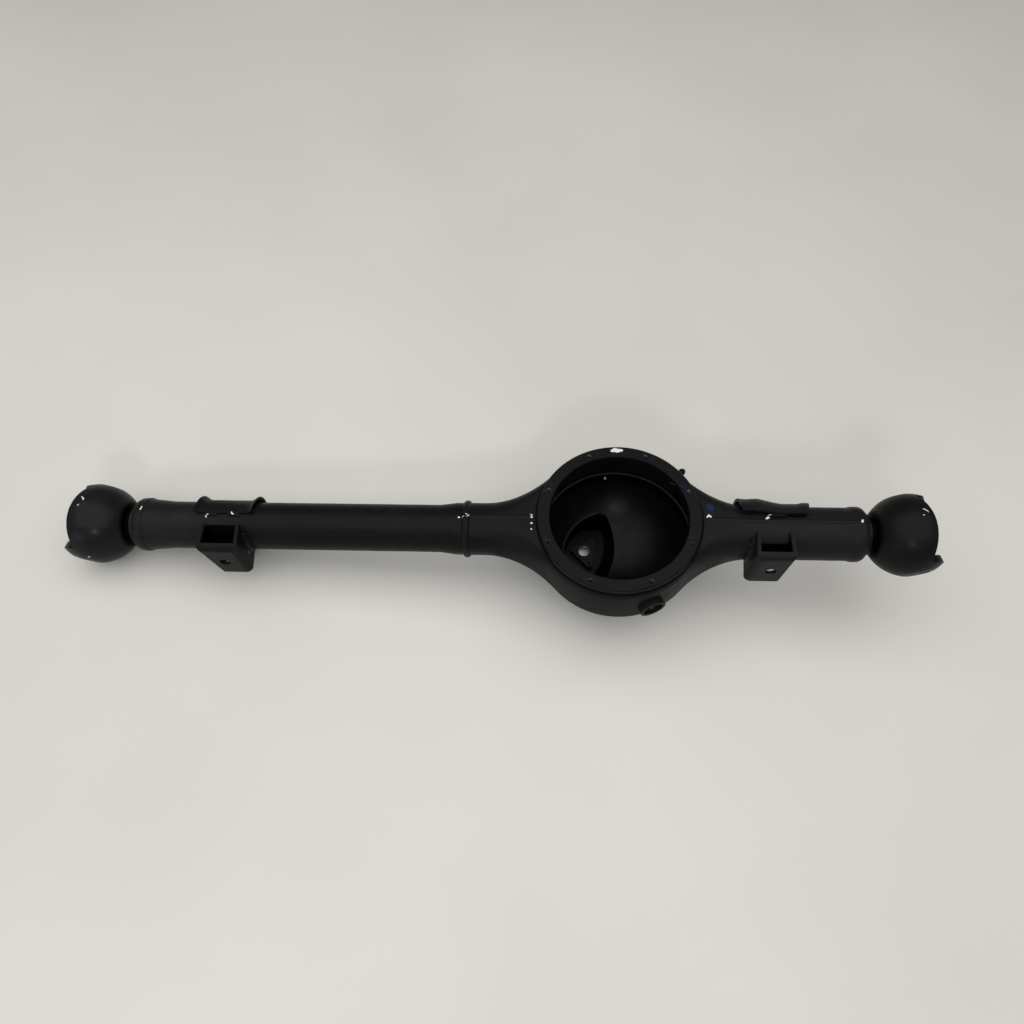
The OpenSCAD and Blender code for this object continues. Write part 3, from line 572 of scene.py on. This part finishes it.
class Patch:
    """Points and faces of several small forms that end up in one piece."""

    def __init__(self, seed):
        self.points = []
        self.faces = []
        self.dice = random.Random(seed)

    def strip(self, rows):
        """Joins equal rows of points into a surface."""
        start = len(self.points)
        width = len(rows[0])
        for row in rows:
            self.points += row
        for i in range(len(rows) - 1):
            for j in range(width - 1):
                a = start + i * width + j
                self.faces.append((a, a + 1, a + width + 1, a + width))

    def stroke(self, spot, line, height=0.0002):
        """Brush stroke on the surface: line holds (right, up, half width) in millimetres."""
        foot, normal, _, _ = SKIN.find_nearest(Vector(spot))
        right = (Vector((1, 0, 0)) - normal * normal.x).normalized()
        up = normal.cross(right)
        marks = [(Vector((u, v)) * 0.001, r * 0.001) for u, v, r in line]
        if len(marks) == 1:
            centre, r = marks[0]
            marks = [(centre - Vector((r * 0.2, 0)), r), (centre + Vector((r * 0.2, 0)), r)]
        stations = []
        for i, (centre, r) in enumerate(marks):
            ahead = marks[min(i + 1, len(marks) - 1)][0] - marks[max(i - 1, 0)][0]
            ahead.normalize()
            if i == 0:
                for back, part in ((1.0, 0.25), (0.75, 0.66), (0.4, 0.92)):
                    stations.append((centre - ahead * r * back, ahead, r * part))
            stations.append((centre, ahead, r))
            if i == len(marks) - 1:
                for on, part in ((0.4, 0.92), (0.75, 0.66), (1.0, 0.25)):
                    stations.append((centre + ahead * r * on, ahead, r * part))
        rows = []
        for centre, ahead, r in stations:
            side = Vector((-ahead.y, ahead.x))
            row = []
            for across, rise in ((-1.0, -0.1), (-0.75, 0.8), (0.0, 1.0), (0.75, 0.8), (1.0, -0.1)):
                wide = r * across * self.dice.uniform(0.82, 1.12)
                flat = centre + side * wide
                aim = foot + right * flat.x + up * flat.y + normal * 0.006
                hit, tilt, _, _ = SKIN.ray_cast(aim, -normal, 0.02)
                if hit is None:
                    hit, tilt, _, _ = SKIN.find_nearest(foot + right * flat.x + up * flat.y)
                row.append(hit + tilt * height * rise * self.dice.uniform(0.8, 1.1))
            rows.append(row)
        self.strip(rows)

    def blob(self, spot, size, flat=0.6):
        """Drop of spatter that sits on the surface."""
        foot, normal, _, _ = SKIN.find_nearest(Vector(spot))
        right = normal.orthogonal().normalized()
        up = normal.cross(right)
        rows = []
        squash = self.dice.uniform(0.75, 1.25)
        for ring in range(5):
            tip = ring / 4 * math.pi / 2
            row = []
            for step in range(13):
                turn = step % 12 / 12 * 2 * math.pi
                out = size * math.cos(tip) * (1 + 0.08 * math.sin(3 * turn + size * 9000))
                row.append(foot + right * math.cos(turn) * out * squash + up * math.sin(turn) * out
                           + normal * (size * flat * math.sin(tip) - size * 0.12))
            rows.append(row)
        self.strip(rows)

    def thread(self, mouth, axis, radius, depth, pitch, length):
        """Cut thread on the wall of a bore, from its mouth inwards."""
        axis = Vector(axis).normalized()
        right = axis.orthogonal().normalized()
        up = axis.cross(right)
        steps = 24
        total = int(length / pitch * steps)
        rows = []
        for i in range(total + 1):
            turn = i / steps * 2 * math.pi
            ends = min(1.0, i / (steps * 0.6), (total - i) / (steps * 0.6))
            out = right * math.cos(turn) + up * math.sin(turn)
            middle = Vector(mouth) - axis * (i / steps * pitch)
            crest = radius - depth * ends
            rows.append([middle + out * radius + axis * pitch * 0.45,
                         middle + out * crest + axis * pitch * 0.06,
                         middle + out * crest - axis * pitch * 0.06,
                         middle + out * radius - axis * pitch * 0.45])
        self.strip(rows)

    def piece(self, name, material, slot=None):
        add_piece(name, self.points, self.faces, material)


# Cut threads

ring_threads = Patch(3)
for index in range(BOLT_COUNT):
    around = math.radians((index + 0.5) * 360 / BOLT_COUNT)
    bolt_mouth = (BOLT_CIRCLE_R * math.cos(around), BOLT_CIRCLE_R * math.sin(around), BOLT_MOUTH_Z)
    ring_threads.thread(bolt_mouth, (0, 0, 1), *BOLT_TAP)
ring_threads.piece("ring_threads", RING_THREAD)

filler_thread = Patch(4)
filler_thread.thread(FILLER_MOUTH, (0, 0, 1), *FILLER_TAP)
filler_thread.piece("filler_thread", FILLER_THREAD)

drain_thread = Patch(4)
drain_way = Vector((math.cos(DRAIN_TURN), math.sin(DRAIN_TURN), 0))
drain_thread.thread(drain_way * DRAIN_MOUTH_R + Vector((0, 0, DRAIN_Z)), drain_way, *DRAIN_TAP)
drain_thread.piece("drain_thread", DRAIN_THREAD)


# Workshop marks, where the photograph shows them, and one painted highlight on the left ball's lower edge;
# the scrawl on the ring is left as plain dabs

white = Patch(11)
white.stroke((-0.7126, 0.0097, 0.0107), [(-1.5, 2.5, 0.7), (0.5, 0.8, 0.8), (2.2, -1.2, 1.2),
                                         (2.6, -2.6, 0.7)])
white.stroke((-0.7141, -0.0015, 0.0115), [(-0.8, -0.6, 0.5), (0.4, 0.9, 0.7)])
white.stroke((-0.6388, 0.0055, -0.0070), [(0.3, 2.3, 1.0), (0, 0.4, 0.9), (-0.4, -1.8, 1.2)])
white.stroke((-0.5480, -0.0030, -0.0085), [(-1.4, -1.0, 1.3), (0.6, 0.6, 0.8), (2.6, 1.3, 0.5)])
white.stroke((-0.5133, 0.0005, -0.0084), [(-1.0, 1.6, 0.9), (-0.4, -0.2, 1.0), (1.4, -1.2, 1.1)])
white.stroke((-0.4973, -0.0359, -0.0517), [(0, 0, 0.7)])
white.stroke((-0.2073, -0.0010, -0.0080), [(-1.5, -0.4, 1.2)])
white.stroke((-0.2045, -0.0010, -0.0070), [(-0.2, -1.2, 0.4), (1.6, -0.4, 0.4), (3.0, 0.2, 0.5)])
white.stroke((-0.1966, 0.0007, -0.0055), [(-2.4, 1.4, 0.6), (0.3, 1.0, 0.9), (1.9, 0.4, 0.9)])
white.stroke((-0.1966, 0.0007, -0.0055), [(0.4, 0.3, 0.6), (-0.8, -1.8, 0.6)])
for dot_y in (-0.0012, -0.0101, -0.0189):
    white.stroke((-0.1132, dot_y, -0.0051), [(0, 0, 1.25 if dot_y > -0.015 else 0.95)])
white.stroke((-0.1136, 0.0020, -0.0051), [(-1.2, 0.2, 0.8), (0.8, 0.0, 0.9)])
white.stroke((-0.0122, 0.0997, -0.0704), [(0, 3.4, 0.5), (0.1, 0.6, 0.9), (0.1, -2.6, 1.7)], 0.0003)
white.stroke((-0.0005, 0.1005, 0.0), [(-6.5, -0.8, 2.2), (-3.0, 0.8, 3.2), (0.5, -0.3, 3.4),
                                      (6.0, 0.2, 2.2)])
white.stroke((0.1156, 0.0039, -0.0052), [(-2.0, -1.4, 1.4), (0.0, 0.8, 2.0), (2.0, -1.2, 1.6)])
white.stroke((0.1905, 0.0049, -0.0049), [(-2.4, -1.8, 1.7), (0.6, 0.2, 0.9), (3.2, 1.4, 0.9)], 0.0003)
white.stroke((0.3092, -0.0003, -0.0054), [(0.2, 1.2, 1.3), (-0.6, -0.6, 1.5)])
white.stroke((0.3826, 0.0078, 0.0109), [(-3.0, 1.6, 0.6), (-0.6, 0.9, 0.8), (1.4, -1.0, 0.7),
                                        (2.6, -2.9, 0.4)])
white.stroke((0.3783, 0.0001, 0.0116), [(-0.8, 0.4, 0.6), (0.4, 0.0, 0.6)])
# Painted highlight: a white dab on the lower edge of the left ball
white.stroke((-0.7084, -0.0542, -0.0373), [(-0.8, 0.0, 0.9), (0.8, 0.1, 0.9)])
white.piece("white_marks_and_highlight", WHITE)

blue = Patch(12)
for spot, size in (((-0.0273, 0.0959, 0), 1.8), ((0.0459, 0.0871, 0), 2.3), ((-0.0873, 0.0463, 0), 2.3),
                   ((0.0856, 0.0455, 0), 2.9), ((-0.0952, -0.0328, 0), 2.6), ((0.0919, -0.0297, 0), 2.4),
                   ((-0.0447, -0.0905, 0), 2.6)):
    blue.stroke(spot, [(-size * 0.5, size * 0.45, size * 0.9), (size * 0.4, -size * 0.25, size)], 0.0001)
blue.piece("blue_marks", BLUE)

dab = Patch(14)
dab.stroke((0.1185, 0.0160, -0.0054), [(-1.8, 2.2, 3.6), (0.8, 0.6, 4.4), (1.4, -3.0, 2.8)], 0.00015)
dab.piece("pale_blue_dab", PALE_BLUE)

red = Patch(13)
red.stroke((-0.0945, 0.0360, 0), [(-0.8, -0.4, 0.8), (0.6, 0.6, 0.7)], 0.0001)
red.piece("red_mark", RED)


# Painted shadow in the gaps at the right saddle and the drain boss, a painted highlight beside the
# breather

gaps = Patch(15)
# Painted shadow: dark strokes where the saddle and the drain boss leave gaps
gaps.stroke((0.2270, 0.0076, -0.0088), [(-11.0, -0.6, 1.4), (0.0, -0.8, 2.2), (11.0, -0.6, 1.8)], 0.0001)
gaps.stroke((0.1660, 0.0095, -0.0020), [(-6.0, 0.0, 1.3), (0.0, 0.1, 1.4), (8.0, 0.0, 0.9)], 0.0001)
gaps.stroke((0.1583, 0.0208, -0.0130), [(1.0, -9.0, 1.1), (0.0, 0.0, 1.4), (-0.5, 12.0, 1.2)], 0.0001)
gaps.stroke((0.0508, -0.1045, -0.0350), [(0, 0, 1.4)], 0.0001)
gaps.stroke((0.0267, -0.1109, -0.0472), [(0, 0, 1.4)], 0.0001)
gaps.piece("gap_shadow_strokes", GAP_SHADOW)

highlight_strip = Patch(16)
# Painted highlight: a light strip on the ring's inner wall beside the breather
highlight_strip.stroke((0.0725, 0.0535, -0.0080), [(-4.5, -2.3, 0.6), (0.0, 0.0, 0.8), (4.6, 2.3, 0.6)], 0.0001)
highlight_strip.piece("painted_highlight_strip", BREATHER_HIGHLIGHT)


# Weld spatter under the paint

spatter = Patch(21)
for spot, size in (((0.1775, 0.0112, -0.0090), 0.0017), ((0.1815, 0.0114, -0.0100), 0.0021),
                   ((0.1860, 0.0116, -0.0100), 0.0018), ((0.1895, 0.0100, -0.0090), 0.0022),
                   ((0.1940, 0.0090, -0.0050), 0.0017), ((0.1687, -0.0295, -0.0203), 0.0024),
                   ((0.1679, -0.0344, -0.0306), 0.0027), ((0.1706, -0.0284, -0.0167), 0.0019),
                   ((0.1690, -0.0352, -0.0385), 0.0022), ((0.1720, -0.0240, -0.0130), 0.0017),
                   ((0.0230, -0.1063, -0.0098), 0.0020)):
    spatter.blob(spot, size, 0.5)
for spot, size in (((0.0282, -0.1049, -0.0097), 0.0018), ((0.1046, -0.0429, -0.0070), 0.0017),
                   ((0.0504, -0.0791, 0.0), 0.0010), ((0.2700, -0.0040, -0.0080), 0.0012)):
    spatter.blob(spot, size)
for near, count, reach in (((0.1905, 0.002, -0.006), 9, 0.016), ((0.171, -0.030, -0.030), 7, 0.012),
                           ((-0.5480, -0.004, -0.008), 5, 0.014), ((0.044, -0.108, -0.050), 6, 0.018),
                           ((-0.2, -0.012, -0.008), 4, 0.012), ((0.078, 0.075, -0.019), 4, 0.010)):
    for _ in range(count):
        drift = Vector((spatter.dice.gauss(0, reach), spatter.dice.gauss(0, reach * 0.7),
                        spatter.dice.gauss(0, reach * 0.5)))
        spatter.blob(Vector(near) + drift, spatter.dice.uniform(0.0004, 0.0009))
spatter.piece("weld_spatter", PAINT, "weld_paint")


# Floor

def lay_floor():
    right = (Vector((1, 0, 0)) - FLOOR_UP * FLOOR_UP.x).normalized()
    far = FLOOR_UP.cross(right)
    foot = FLOOR_UP * -FLOOR_DEPTH
    reach = [FLOOR_HALF * (2 * i / FLOOR_STEPS - 1) for i in range(FLOOR_STEPS + 1)]
    points = [foot + right * u + far * v for u in reach for v in reach]
    faces = []
    row = len(reach)
    for i in range(FLOOR_STEPS):
        for j in range(FLOOR_STEPS):
            a = i * row + j
            faces.append((a, a + row, a + row + 1, a + 1))
    mesh = bpy.data.meshes.new("floor")
    mesh.from_pydata(points, [], faces)
    mesh.materials.append(floor_sheet())
    floor = bpy.data.objects.new("floor", mesh)
    bpy.context.scene.collection.objects.link(floor)


lay_floor()


# Light: a broad pale ceiling, a weak lamp in front, a pale wall to the left, pale surroundings

def area_light(name, place, target, size, power, colour):
    data = bpy.data.lights.new(name, "AREA")
    data.shape = "RECTANGLE"
    data.size = size[0]
    data.size_y = size[1]
    data.energy = power
    data.color = colour
    lamp = bpy.data.objects.new(name, data)
    aim = (Vector(target) - Vector(place)).to_track_quat("-Z", "Y").to_matrix().to_4x4()
    lamp.matrix_world = Matrix.Translation(place) @ aim
    bpy.context.scene.collection.objects.link(lamp)


area_light("ceiling_light", (0.0, -0.20, 2.6), (0.0, -0.20, 0.0), (5.6, 3.8), 112.0, (1.0, 0.985, 0.955))
area_light("front_lamp", (-0.05, -2.0, 1.55), (-0.5, 0.0, 0.0), (0.42, 0.26), 10.0, (0.95, 0.97, 1.0))
area_light("left_wall", (-2.5, -2.8, 1.05), (-0.6, 0.0, 0.0), (1.6, 1.2), 11.0, (0.94, 0.96, 1.0))

world = bpy.data.worlds.new("pale_surroundings")
world.use_nodes = True
world.node_tree.nodes["Background"].inputs["Color"].default_value = (0.80, 0.79, 0.76, 1.0)
world.node_tree.nodes["Background"].inputs["Strength"].default_value = 0.20
bpy.context.scene.world = world

bpy.context.scene.view_settings.view_transform = "Standard"
